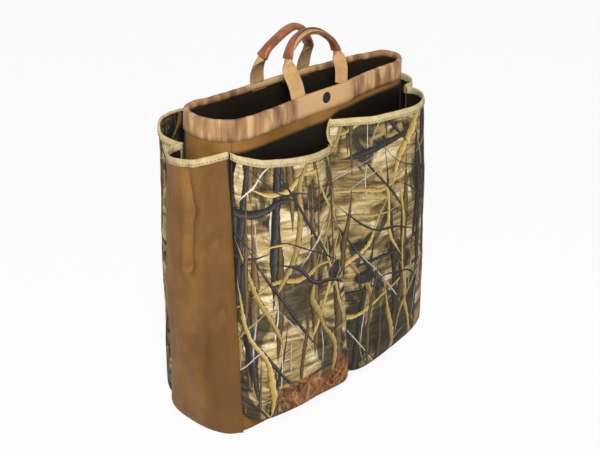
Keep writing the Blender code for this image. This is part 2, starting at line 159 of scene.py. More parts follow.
def finishPiece(piece, material, body, slotName, *nodes):
    piece.data.materials.clear()
    piece.data.materials.append(material)
    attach(piece, body)
    if nodes:
        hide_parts(*nodes)
    return piece


# shader groups and materials

class Tree:
    def __init__(self, tree):
        self.tree = tree

    def add(self, kind, operation=None, **settings):
        node = self.tree.nodes.new(kind)
        if operation:
            node.operation = operation
        for key, value in settings.items():
            setattr(node, key, value)
        return node

    def put(self, socket, value):
        if isinstance(value, bpy.types.NodeSocket):
            self.tree.links.new(value, socket)
        elif value is not None:
            socket.default_value = value

    def math(self, operation, a, b=None, clamp=False):
        node = self.add("ShaderNodeMath", operation)
        node.use_clamp = clamp
        self.put(node.inputs[0], a)
        self.put(node.inputs[1], b)
        return node.outputs[0]

    def times(self, a, b):
        return self.math("MULTIPLY", a, b)

    def plus(self, a, b):
        return self.math("ADD", a, b)

    def minus(self, a, b):
        return self.math("SUBTRACT", a, b)

    def split(self, vector):
        node = self.add("ShaderNodeSeparateXYZ")
        self.put(node.inputs[0], vector)
        return node.outputs

    def join(self, *values):
        node = self.add("ShaderNodeCombineXYZ")
        for socket, value in zip(node.inputs, values):
            self.put(socket, value)
        return node.outputs[0]

    def mix(self, factor, a, b):
        node = self.add("ShaderNodeMix", data_type="RGBA")
        self.put(node.inputs["Factor"], factor)
        self.put(node.inputs[6], a)
        self.put(node.inputs[7], b)
        return node.outputs[2]

    def ramp(self, value, stops):
        node = self.add("ShaderNodeValToRGB")
        band = node.color_ramp
        while len(band.elements) < len(stops):
            band.elements.new(0.5)
        for element, (position, colour) in zip(band.elements, stops):
            element.position = position
            element.color = colour if len(colour) == 4 else (*colour, 1)
        self.put(node.inputs[0], value)
        return node.outputs[0]

    def noise(self, vector, scale, detail=2.0, rough=0.5, distortion=0.0):
        node = self.add("ShaderNodeTexNoise")
        self.put(node.inputs["Vector"], vector)
        self.put(node.inputs["Scale"], scale)
        node.inputs["Detail"].default_value = detail
        node.inputs["Roughness"].default_value = rough
        node.inputs["Distortion"].default_value = distortion
        return node.outputs["Fac"]

    def smooth(self, value, low, high):
        node = self.add("ShaderNodeMapRange", interpolation_type="SMOOTHSTEP")
        self.put(node.inputs["Value"], value)
        self.put(node.inputs["From Min"], low)
        self.put(node.inputs["From Max"], high)
        return node.outputs["Result"]

    def stretched(self, vector, scale, turn=0.0, place=(0, 0, 0)):
        node = self.add("ShaderNodeMapping")
        self.put(node.inputs["Vector"], vector)
        node.inputs["Scale"].default_value = scale
        node.inputs["Rotation"].default_value = (0, 0, turn)
        node.inputs["Location"].default_value = place
        return node.outputs[0]

    def group(self, tree, **values):
        node = self.add("ShaderNodeGroup")
        node.node_tree = tree
        for key, value in values.items():
            self.put(node.inputs[key], value)
        return node


def newGroup(name, inputs, outputs, kind="ShaderNodeTree"):
    tree = bpy.data.node_groups.new(name, kind)
    for label, form, value in inputs:
        socket = tree.interface.new_socket(label, in_out="INPUT", socket_type="NodeSocket" + form)
        if value is not None:
            socket.default_value = value
    for label, form in outputs:
        tree.interface.new_socket(label, in_out="OUTPUT", socket_type="NodeSocket" + form)
    entry = tree.nodes.new("NodeGroupInput")
    leave = tree.nodes.new("NodeGroupOutput")
    return Tree(tree), entry.outputs, leave.inputs


def weaveGroup():
    # over-and-under threads: a height for the bump and a faint tint from thread to thread
    t, into, out = newGroup("weave", (("Vector", "Vector", None), ("Threads", "Float", 1400.0),
                                      ("Slub", "Float", 0.4)), (("Height", "Float"), ("Tint", "Float")))
    part = t.split(into["Vector"])
    warp = t.math("SINE", t.times(part[0], into["Threads"]))
    weft = t.math("SINE", t.times(part[1], into["Threads"]))
    cross = t.times(warp, weft)
    slubAlong = t.noise(t.stretched(into["Vector"], (900, 25, 1)), 1.0)
    slubAcross = t.noise(t.stretched(into["Vector"], (25, 900, 1)), 1.0)
    slub = t.plus(slubAlong, slubAcross)
    t.put(out["Height"], t.plus(cross, t.times(slub, into["Slub"])))
    t.put(out["Tint"], t.smooth(slub, 0.7, 1.3))
    return t.tree


def reedGroup():
    # one layer of reeds: columns of tapered strokes, turned, bent and thinned out
    t, into, out = newGroup("reeds", (
        ("Vector", "Vector", None), ("Turn", "Float", 0.0), ("Spacing", "Float", 0.03),
        ("Width", "Float", 0.2), ("Bend", "Float", 0.02), ("Bend Size", "Float", 0.15),
        ("Length", "Float", 0.2), ("Density", "Float", 0.5), ("Seed", "Float", 0.0)),
        (("Mask", "Float"), ("Across", "Float"), ("Tone", "Float")))
    turned = t.add("ShaderNodeVectorRotate", rotation_type="Z_AXIS")
    t.put(turned.inputs["Vector"], into["Vector"])
    t.put(turned.inputs["Angle"], into["Turn"])
    part = t.split(turned.outputs[0])
    moved = t.join(part[0], part[1], into["Seed"])
    swirl = t.noise(moved, t.math("DIVIDE", 1.0, into["Bend Size"]), 1.0)
    sway = t.times(t.minus(swirl, 0.5), t.times(into["Bend"], 2.0))
    x = t.math("DIVIDE", t.plus(part[0], sway), into["Spacing"])
    column = t.math("FLOOR", x)

    def chance(a, b):
        white = t.add("ShaderNodeTexWhiteNoise", noise_dimensions="3D")
        t.put(white.inputs["Vector"], t.join(a, b, into["Seed"]))
        split = t.add("ShaderNodeSeparateColor")
        t.put(split.inputs[0], white.outputs["Color"])
        return split.outputs
    columnLuck = chance(column, 0.5)
    y = t.plus(t.math("DIVIDE", part[1], into["Length"]), t.times(columnLuck[0], 7.0))
    row = t.math("FLOOR", y)
    luck = chance(column, row)
    end = t.math("FRACT", y)
    taper = t.math("MINIMUM", t.times(end, 5.0),
                   t.times(t.minus(1.0, end), 2.6))
    taper = t.math("MINIMUM", taper, 1.0)
    half = t.times(t.times(into["Width"], 0.5),
                  t.plus(0.45, t.times(luck[1], 0.55)))
    half = t.times(half, taper)
    offset = t.times(t.minus(luck[2], 0.5), t.minus(0.95, into["Width"]))
    side = t.minus(t.minus(t.math("FRACT", x), 0.5), offset)
    swell = t.noise(t.stretched(moved, (30, 38, 1)), 1.0, 2.0)
    half = t.times(half, t.plus(0.45, swell))
    fray = t.noise(t.stretched(moved, (520, 260, 1)), 1.0, 3.0)
    across = t.math("DIVIDE", side, t.math("MAXIMUM", half, 0.0005))
    across = t.plus(across, t.times(t.minus(fray, 0.5), 0.6))
    inside = t.smooth(t.math("ABSOLUTE", across), 1.08, 0.92)
    present = t.math("LESS_THAN", luck[0], into["Density"])
    t.put(out["Mask"], t.times(inside, present))
    t.put(out["Across"], t.math("ADD", t.times(across, 0.5), 0.5, clamp=True))
    t.put(out["Tone"], columnLuck[1])
    return t.tree


weave = weaveGroup()
reeds = reedGroup()


def newMaterial(name, roughness, specular):
    material = bpy.data.materials.new(name)
    material.use_nodes = True
    shader = material.node_tree.nodes["Principled BSDF"]
    shader.inputs["Roughness"].default_value = roughness
    shader.inputs["Specular IOR Level"].default_value = specular
    return material, Tree(material.node_tree), shader


def bumpInto(t, shader, height, strength, distance):
    bump = t.add("ShaderNodeBump")
    bump.inputs["Strength"].default_value = strength
    bump.inputs["Distance"].default_value = distance
    t.put(bump.inputs["Height"], height)
    t.put(shader.inputs["Normal"], bump.outputs[0])


def uvOf(t):
    return t.add("ShaderNodeUVMap", uv_map="cloth").outputs[0]


def objectOf(t):
    return t.add("ShaderNodeTexCoord").outputs["Object"]


def clothMaterial(name, dark, light, threads, roughness=0.75, blotch=9.0, strength=0.25, uv=True, tint=0.12,
                  specular=0.25):
    material, t, shader = newMaterial(name, roughness, specular)
    vector = uvOf(t) if uv else objectOf(t)
    threadsOf = t.group(weave, Vector=vector, Threads=threads)
    patches = t.noise(vector, blotch, 4.0, 0.6)
    shade = t.plus(t.times(patches, 1 - tint),
                   t.times(threadsOf.outputs["Tint"], tint))
    t.put(shader.inputs["Base Color"], t.ramp(shade, ((0.30, dark), (0.72, light))))
    bumpInto(t, shader, threadsOf.outputs["Height"], strength, 0.0004)
    return material


def colourOver(material, mask, colour):
    # lays a colour over a finished material's own where the mask is 1
    t = Tree(material.node_tree)
    base = material.node_tree.nodes["Principled BSDF"].inputs["Base Color"]
    t.put(base, t.mix(mask, base.links[0].from_socket, colour))
    return material


paintedShadeShape = {
    # the painted shade's top edge, its step up behind the tall pockets, and the spans over which it fades
    # out
    "top": 0.4085, "step": 0.008, "stepSpan": (-0.002, 0.030), "topSpan": (-0.003, 0.004),
    "nearEnd": (-0.180, -0.174), "farEnd": (0.186, 0.181), "foot": (0.024, 0.034),
}


def bodyMaterial():
    # tan nylon above the pockets and, behind them, near-black painted shade
    material = clothMaterial("bodyNylon", (0.150, 0.065, 0.013), (0.30, 0.150, 0.038), 5600.0, 0.6, 16.0,
                             tint=0.03, specular=0.12)
    t = Tree(material.node_tree)
    part = t.split(objectOf(t))
    side = t.times(part[0], t.times(t.math("SIGN", part[1]), -1.0))   # towards the tall pocket
    step = t.times(t.smooth(side, *paintedShadeShape["stepSpan"]), paintedShadeShape["step"])
    drop = t.minus(t.plus(step, paintedShadeShape["top"]), part[2])
    flank = t.times(t.smooth(side, *paintedShadeShape["nearEnd"]),
                    t.smooth(t.math("ABSOLUTE", part[0]), *paintedShadeShape["farEnd"]))
    behind = t.times(t.smooth(drop, *paintedShadeShape["topSpan"]), flank)
    under = t.smooth(part[2], *paintedShadeShape["foot"])
    # near-black painted shade laid over the nylon behind the pockets
    return colourOver(material, t.times(behind, under), (0.0045, 0.0026, 0.0012, 1))


def pocketNylon():
    # the body's nylon, with painted shade darkening the end pockets where they turn to the front
    material = clothMaterial("tanNylon", (0.140, 0.060, 0.012), (0.29, 0.145, 0.036), 5600.0, 0.52, 11.0,
                             tint=0.03, specular=0.2)
    t = Tree(material.node_tree)
    # painted shade, deeper towards the front
    paintedShade = t.smooth(t.split(objectOf(t))[1], -0.002, -0.028)
    return colourOver(material, t.times(paintedShade, 0.62), (0.095, 0.040, 0.009, 1))


def bandMaterial():
    # wide ribbed webbing with painted light on its tan: a pinkish painted highlight where it stands proud
    # and brown painted shade in its gathers
    material, t, shader = newMaterial("ribbedBand", 0.6, 0.3)
    vector = uvOf(t)
    part = t.split(vector)
    ribs = t.math("SINE", t.times(part[0], 3600.0))
    # painted highlights and painted shade of the gathers; the flat stretches keep one even tan
    patches = t.noise(t.stretched(vector, (72, 17, 1), 0.30), 1.0, 2.0, 0.5, 0.25)
    fine = t.noise(t.stretched(vector, (900, 60, 1)), 1.0, 2.0)
    shade = t.plus(t.times(patches, 0.88), t.times(fine, 0.12))
    calm = t.add("ShaderNodeAttribute", attribute_name="calm")
    shade = t.plus(t.times(shade, t.minus(1.0, calm.outputs["Fac"])),
                   t.times(calm.outputs["Fac"], 0.61))
    colour = t.ramp(shade, ((0.35, (0.165, 0.075, 0.032)), (0.45, (0.275, 0.140, 0.061)),
                            (0.54, (0.37, 0.205, 0.093)), (0.63, (0.58, 0.36, 0.170))))
    t.put(shader.inputs["Base Color"], colour)
    bumpInto(t, shader, t.plus(ribs, fine), 0.3, 0.0004)
    return material


camoColours = {
    "ground": ((0.30, (0.030, 0.022, 0.012)), (0.42, (0.145, 0.098, 0.038)), (0.49, (0.34, 0.235, 0.095)),
               (0.56, (0.50, 0.375, 0.18)), (0.64, (0.74, 0.63, 0.42)), (0.74, (0.36, 0.25, 0.11))),
    "charcoal": ((0.0, (0.006, 0.006, 0.007)), (0.30, (0.018, 0.016, 0.016)), (0.55, (0.050, 0.046, 0.046)),
                 (0.72, (0.085, 0.083, 0.086)), (0.85, (0.030, 0.027, 0.025)), (1.0, (0.008, 0.007, 0.006))),
    "pale": ((0.0, (0.05, 0.04, 0.025)), (0.3, (0.42, 0.38, 0.29)), (0.6, (0.78, 0.74, 0.64)),
             (1.0, (0.16, 0.12, 0.07))),
    "gold": ((0.0, (0.050, 0.030, 0.009)), (0.14, (0.34, 0.205, 0.045)), (0.42, (0.52, 0.345, 0.085)),
             (0.66, (0.57, 0.40, 0.14)), (0.82, (0.72, 0.58, 0.31)), (0.91, (0.38, 0.24, 0.07)),
             (1.0, (0.020, 0.012, 0.007))),
    "brown": ((0.0, (0.016, 0.010, 0.006)), (0.35, (0.115, 0.068, 0.027)), (0.7, (0.22, 0.145, 0.066)),
              (1.0, (0.020, 0.012, 0.008))),
    "rust": ((0.0, (0.030, 0.010, 0.005)), (0.3, (0.24, 0.062, 0.016)), (0.6, (0.44, 0.16, 0.045)),
             (0.85, (0.50, 0.31, 0.13)), (1.0, (0.04, 0.016, 0.008))),
    "layers": (
        # turn, spacing, width, bend, bend size, length, density, colours; laid from the back to the front
        (0.04, 0.038, 0.60, 0.012, 0.16, 0.26, 0.40, "brown"),
        (-0.10, 0.052, 0.34, 0.010, 0.30, 0.46, 0.50, "charcoal"),
        (0.14, 0.060, 0.28, 0.016, 0.22, 0.36, 0.56, "charcoal"),
        (0.05, 0.024, 0.16, 0.010, 0.10, 0.07, 0.26, "pale"),
        (1.42, 0.050, 0.22, 0.022, 0.12, 0.15, 0.34, "charcoal"),
        (-0.34, 0.046, 0.20, 0.034, 0.15, 0.17, 0.42, "gold"),
        (1.25, 0.060, 0.16, 0.050, 0.14, 0.17, 0.44, "gold"),
        (0.46, 0.066, 0.20, 0.052, 0.16, 0.24, 0.46, "gold"),
        (-0.60, 0.050, 0.13, 0.016, 0.20, 0.21, 0.44, "charcoal"),
        (-0.63, 0.052, 0.055, 0.014, 0.20, 0.15, 0.36, "pale"),
        (0.10, 0.036, 0.20, 0.020, 0.14, 0.20, 0.36, "brown"),
        (-0.18, 0.070, 0.15, 0.050, 0.13, 0.22, 0.44, "gold"),
        (0.85, 0.074, 0.05, 0.030, 0.10, 0.10, 0.24, "pale"),
        (-1.05, 0.060, 0.08, 0.040, 0.12, 0.18, 0.44, "charcoal")),
}


def strokesInto(t, colour, vector, settings, seed, grain):
    # lays one layer of reeds over a colour
    turn, spacing, width, bend, bendSize, length, density, stops = settings
    layer = t.group(reeds, Vector=vector, Turn=turn, Spacing=spacing, Width=width, Bend=bend, Seed=seed,
                    Length=length, Density=density)
    layer.inputs["Bend Size"].default_value = bendSize
    fleck = t.plus(t.times(t.minus(grain, 0.5), 0.8), layer.outputs["Across"])
    stroke = t.ramp(fleck, camoColours[stops])
    dim = t.times(t.minus(1.0, layer.outputs["Tone"]), 0.5)
    stroke = t.mix(dim, stroke, (0.030, 0.022, 0.014, 1))
    return t.mix(layer.outputs["Mask"], colour, stroke)


def camoMaterial(name, seed, rust=False, dark=0.0):
    # brushed ground and shadows with stalks, curved reeds, twigs and seed heads laid over them
    material, t, shader = newMaterial(name, 0.85, 0.2)
    uv = uvOf(t)
    vector = t.stretched(uv, (1, 1, 1), 0.0, (seed * 0.37, seed * 0.53, 0))
    brushed = t.noise(t.stretched(vector, (13, 58, 1), 0.12), 1.0, 6.0, 0.66, 0.9)
    colour = t.ramp(brushed, camoColours["ground"])
    grain = t.noise(t.stretched(vector, (420, 110, 1)), 1.0, 3.0, 0.6)
    hollows = t.noise(t.stretched(vector, (15, 9, 1)), 1.0, 5.0, 0.62, 0.8)
    shadows = t.times(t.smooth(hollows, 0.475, 0.56), 0.86 + 0.4 * dark)
    colour = t.mix(shadows, colour, (0.020, 0.017, 0.013, 1))
    for index, settings in enumerate(camoColours["layers"]):
        colour = strokesInto(t, colour, vector, settings, seed * 3.1 + index * 7.7, grain)
        if index == 7:   # dark oval seed heads lie under the last twigs
            rough = t.add("ShaderNodeVectorMath", "ADD")
            t.put(rough.inputs[0], t.stretched(vector, (9, 17, 1), -0.2))
            spread = t.times(t.minus(grain, 0.5), 0.12)
            t.put(rough.inputs[1], spread)
            cells = t.add("ShaderNodeTexVoronoi")
            t.put(cells.inputs["Vector"], rough.outputs[0])
            cells.inputs["Scale"].default_value = 1.0
            luck = t.add("ShaderNodeSeparateColor")
            t.put(luck.inputs[0], cells.outputs["Color"])
            heads = t.times(t.smooth(cells.outputs["Distance"], 0.25, 0.21),
                           t.math("LESS_THAN", luck.outputs[0], 0.55))
            colour = t.mix(heads, colour, t.ramp(grain, ((0.35, (0.006, 0.006, 0.006)),
                                                         (0.65, (0.055, 0.050, 0.045)))))
    if rust:   # a patch of fallen leaves low on the pocket
        part = t.split(uv)
        ragged = t.noise(t.stretched(vector, (34, 46, 1)), 1.0, 4.0, 0.7)
        high = t.plus(part[1], t.times(ragged, 0.10))
        mask = t.times(t.smooth(high, 0.134, 0.108), t.smooth(part[0], 0.045, 0.085))
        leaf = t.noise(t.stretched(vector, (150, 50, 1), 0.7), 1.0, 4.0, 0.65, 1.4)
        leaves = t.ramp(leaf, ((0.36, (0.030, 0.013, 0.007)), (0.47, (0.17, 0.050, 0.016)),
                               (0.56, (0.28, 0.095, 0.028)), (0.68, (0.34, 0.22, 0.10))))
        colour = t.mix(t.times(mask, 0.82), colour, leaves)
        for index, turn in enumerate((-1.0, -0.55, 0.9)):
            fallen = (turn, 0.030, 0.26, 0.020, 0.08, 0.06, 0.75, "rust")
            over = strokesInto(t, colour, vector, fallen, index * 5.3, grain)
            colour = t.mix(t.times(mask, 0.6), colour, over)
    # painted shade: dark deepens the print's hollows above and darkens the whole print here
    if dark:
        colour = t.mix(dark, colour, (0.008, 0.006, 0.004, 1))
    t.put(shader.inputs["Base Color"], colour)
    threads = t.group(weave, Vector=uv, Threads=5200.0, Slub=0.7)
    bumpInto(t, shader, threads.outputs["Height"], 0.2, 0.0003)
    return material


def leatherMaterial():
    # cognac leather, dark along its cut edges
    material, t, shader = newMaterial("cognacLeather", 0.42, 0.5)
    uv = uvOf(t)
    grain = t.add("ShaderNodeTexVoronoi")
    t.put(grain.inputs["Vector"], uv)
    grain.inputs["Scale"].default_value = 900
    patches = t.noise(uv, 60.0, 4.0, 0.6)
    colour = t.ramp(patches, ((0.30, (0.120, 0.030, 0.008)), (0.52, (0.25, 0.072, 0.020)),
                              (0.72, (0.42, 0.155, 0.048))))
    edge = t.add("ShaderNodeAttribute", attribute_name="edge").outputs["Fac"]
    colour = t.mix(t.times(t.smooth(edge, 0.6, 0.95), 0.75), colour,
                   (0.050, 0.020, 0.012, 1))
    t.put(shader.inputs["Base Color"], colour)
    bumpInto(t, shader, grain.outputs["Distance"], 0.35, 0.0005)
    return material


def snapMaterial():
    material, t, shader = newMaterial("blackSnap", 0.34, 0.22)
    vector = objectOf(t)
    t.put(shader.inputs["Base Color"], t.ramp(t.noise(vector, 300.0), ((0.3, (0.003, 0.003, 0.0035)),
                                                                       (0.7, (0.008, 0.008, 0.009)))))
    t.put(shader.inputs["Roughness"], t.smooth(t.noise(vector, 500.0), -0.4, 1.6))
    return material


tanNylon = pocketNylon()
bodyNylon = bodyMaterial()
darkLining = clothMaterial("darkLining", (0.005, 0.003, 0.0015), (0.014, 0.0085, 0.0045), 5200.0, 0.85,
                           specular=0.12)
tanWebbing = clothMaterial("tanWebbing", (0.40, 0.225, 0.085), (0.62, 0.40, 0.185), 3200.0, 0.7, 60.0, 0.5)
tailWebbing = clothMaterial("tailWebbing", (0.40, 0.225, 0.085), (0.62, 0.40, 0.185), 3200.0, 0.7, 60.0, 0.5,
                            uv=False)
khakiBinding = clothMaterial("khakiBinding", (0.42, 0.32, 0.145), (0.70, 0.57, 0.31), 4200.0, 0.75, 80.0,
                             0.5)
pocketInside = clothMaterial("pocketInside", (0.006, 0.0038, 0.002), (0.020, 0.012, 0.006), 5200.0, 0.85,
                             specular=0.12)
stitchDark = clothMaterial("stitchDark", (0.05, 0.035, 0.02), (0.10, 0.07, 0.04), 4000.0, 0.7, uv=False)
stitchTan = clothMaterial("stitchTan", (0.30, 0.17, 0.07), (0.45, 0.28, 0.13), 4000.0, 0.7, uv=False)
ribbedBand = bandMaterial()
leather = leatherMaterial()
blackSnap = snapMaterial()
blackBoard = clothMaterial("blackBoard", (0.02, 0.02, 0.02), (0.05, 0.05, 0.05), 2400.0, 0.6)
# painted shade: how much each pocket's camo is darkened, the front right pocket the most
camoPaintedShade = {"frontLeft": 0.0, "frontRight": 0.14, "backLeft": 0.0, "backRight": 0.0}   # how much darker
camos = {name: camoMaterial("reedCamo" + str(index), float(index), rust=name == "frontLeft", dark=shade)
         for index, (name, shade) in enumerate(camoPaintedShade.items(), 1)}
# the camo print's reverse inside the back left pocket, darkened by painted shade
camoInside = camoMaterial("reedCamoInside", 5.0, dark=0.62)
print("materials made")


# the tote's body: one loft from the base outline to the rim, inside it the lining

bodyShape = {
    "rim": atHeight(451, [(0, -43.5), (41, -43.3), (70, -38), (113, -33), (160, -31), (182, -18),
                          (193, 3), (184, 22), (140, 33), (80, 38.5), (41, 42.5), (0, 43.5),
                          (-43, 43.5), (-110, 43), (-160, 46), (-182, 30), (-190, 0), (-181, -32),
                          (-157, -49), (-100, -49), (-41, -44.5)]),
    "base": atHeight(0, [(0, -57), (60, -51), (120, -44), (162, -35), (184, -20), (192, 4), (189, 36),
                         (168, 56), (120, 60), (60, 60), (0, 60), (-60, 61), (-120, 64), (-172, 69),
                         (-192, 52), (-197, 20), (-197, -12), (-190, -40), (-171, -58), (-120, -61),
                         (-60, -59)]),
    "columns": 220,
    "levels": 44,
    "edgeRadius": 0.006,
    "wrinkle": 0.0016,
    "rimHeight": 0.451,
    "top": 0.4495,        # the wall ends inside the band
    "skin": 0.0012,
}
liningShape = {"inset": 0.0052, "floor": 0.0065, "top": 0.4415, "levels": 24, "wrinkle": 0.0018,
               "skin": 0.0008}
boardShape = {"inset": 0.009, "under": 0.0026, "top": 0.0052}


def bodyRow(level, inset=0.0):
    # the wall at a level from 0 at the base to 1 at the rim, moved inwards by inset
    rim = evenly(bodyShape["rim"], bodyShape["columns"], closed=True)
    base = evenly(bodyShape["base"], bodyShape["columns"], closed=True)
    row = base + (rim - base) * level
    row -= planNormals(row, True) * inset
    return row


def wrinkled(row, amount, seed, scale=(0.055, 0.16)):
    normals = planNormals(row, True)
    moved = row.copy()
    for i, point in enumerate(row):
        lift = ruffle(point[0] / scale[0], point[1] / scale[0] + seed, point[2] / scale[1])
        lift += 0.4 * ruffle(point[0] / 0.02, point[1] / 0.02 + seed, point[2] / 0.05)
        moved[i] += normals[i] * lift * amount
    return moved


def floorRows(row, height, shares):
    centre = row.mean(axis=0)
    rows = []
    for share in shares:
        ring = centre + (row - centre) * share
        ring[:, 2] = height
        rows.append(ring)
    return rows


def endFade(level):
    # 1 over most of the height and 0 at the base and rim
    return min(level * 6, (1 - level) * 5, 1)


def makeBody():
    rows = []
    radius = bodyShape["edgeRadius"]
    for step in range(bodyShape["levels"] + 1):
        level = (step / bodyShape["levels"]) ** 1.15
        row = bodyRow(level)
        lift = level * bodyShape["top"]
        row[:, 2] = lift
        row = wrinkled(row, bodyShape["wrinkle"] * endFade(level), 3.0)
        if lift < radius:
            inward = radius - math.sqrt(max(radius ** 2 - (radius - lift) ** 2, 0))
            row -= planNormals(row, True) * inward
        rows.append(row)
    under = floorRows(rows[0], 0.0, (0.02, 0.3, 0.6, 0.85, 0.96))
    piece = sheetMesh("bodyShell", under + rows, closed=True, cap=True, thickness=bodyShape["skin"])
    return finishPiece(piece, bodyNylon, "bag", "tan_nylon", "body_front_panel", "body_back_panel",
                       "body_left_gusset", "body_right_gusset", "base_panel")


def makeLining():
    rows = []
    floor, rise = liningShape["floor"], liningShape["top"] - liningShape["floor"]
    for step in range(liningShape["levels"] + 1):
        level = step / liningShape["levels"]
        row = bodyRow(level, liningShape["inset"])
        row[:, 2] = floor + level * rise
        rows.append(wrinkled(row, liningShape["wrinkle"] * endFade(level), 11.0))
    under = floorRows(rows[0], floor, (0.02, 0.4, 0.8))
    piece = sheetMesh("liningTub", under + rows, closed=True, cap=True, thickness=liningShape["skin"])
    return finishPiece(piece, darkLining, "bag", "dark_lining", "lining")


def makeBoard():
    # the plain stiffener under the lining, inside the base's outline
    low = bodyRow(0.0, boardShape["inset"])
    low[:, 2] = boardShape["under"]
    high = low.copy()
    high[:, 2] = boardShape["top"]
    rows = floorRows(low, boardShape["under"], (0.02, 0.5)) + [low, high]
    rows += floorRows(high, boardShape["top"], (0.5, 0.02))
    piece = sheetMesh("baseStiffener", rows, closed=True, cap=True, thickness=0)
    closeEnds(piece)
    return finishPiece(piece, blackBoard, "bag", "stiff_board", "base_board")


# the wide band folded over the rim, gathered away from the handles

bandShape = {
    # outwards from the wall and down from the rim, in millimetres, along the band's section
    "section": ((1.5, -28.0), (1.7, -22.0), (1.9, -15.0), (1.9, -8.0), (1.8, -3.0), (1.3, -0.9), (0.2, 0.0),
                (-1.4, 0.2), (-3.2, 0.0), (-4.6, -0.8), (-5.2, -2.4), (-5.3, -4.6), (-5.2, -8.5)),
    "gather": 0.0011,
    "gatherRise": 0.0009,
    "calmHalf": 0.052,
    "thickness": 0.0010,
    "columns": 620,
}


def calmness(x):
    # 1 on the flat stretches between the handles' legs and 0 in the gathers
    flat = float(np.clip((bandShape["calmHalf"] + 0.012 - abs(x + 0.004)) / 0.014, 0, 1))
    corner = 0.3 * float(np.clip((abs(x) - 0.168) / 0.014, 0, 1))
    return max(flat, corner)


def makeBand():
    rim = evenly(bodyShape["rim"], bandShape["columns"], closed=True)
    base = evenly(bodyShape["base"], bandShape["columns"], closed=True)
    run = runAlong(rim)
    calm = np.array([calmness(point[0]) for point in rim])
    gathers = np.array([ruffle(u / 0.009, 5.0, 0.5)
                        + 0.6 * ruffle(u / 0.022, 9.0, 0) for u in run]) * (1 - 0.93 * calm)
    rows = []
    for out, down in bandShape["section"]:
        level = 1 + down / 1000 / bodyShape["rimHeight"]
        row = base + (rim - base) * level
        row[:, 2] = bodyShape["rimHeight"] + down / 1000
        normals = planNormals(row, True)
        depth = min(1.0, 0.45 + abs(down) / 18) if out > 0 else 0.35
        row += normals * (out / 1000 + gathers * bandShape["gather"] * depth)[:, None]
        row[:, 2] += gathers * bandShape["gatherRise"] * (1 - 0.5 * depth)
        rows.append(row)
    piece = sheetMesh("mouthBand", rows, closed=True, thickness=bandShape["thickness"])
    paintPoints(piece, "calm", np.tile(calm, len(rows)))
    finishPiece(piece, ribbedBand, "bag", "ribbed_band", "mouth_band", "rim_facing")
    return rows


# pockets: each a loft from its floor outline to its rim, with a tape folded over the rim

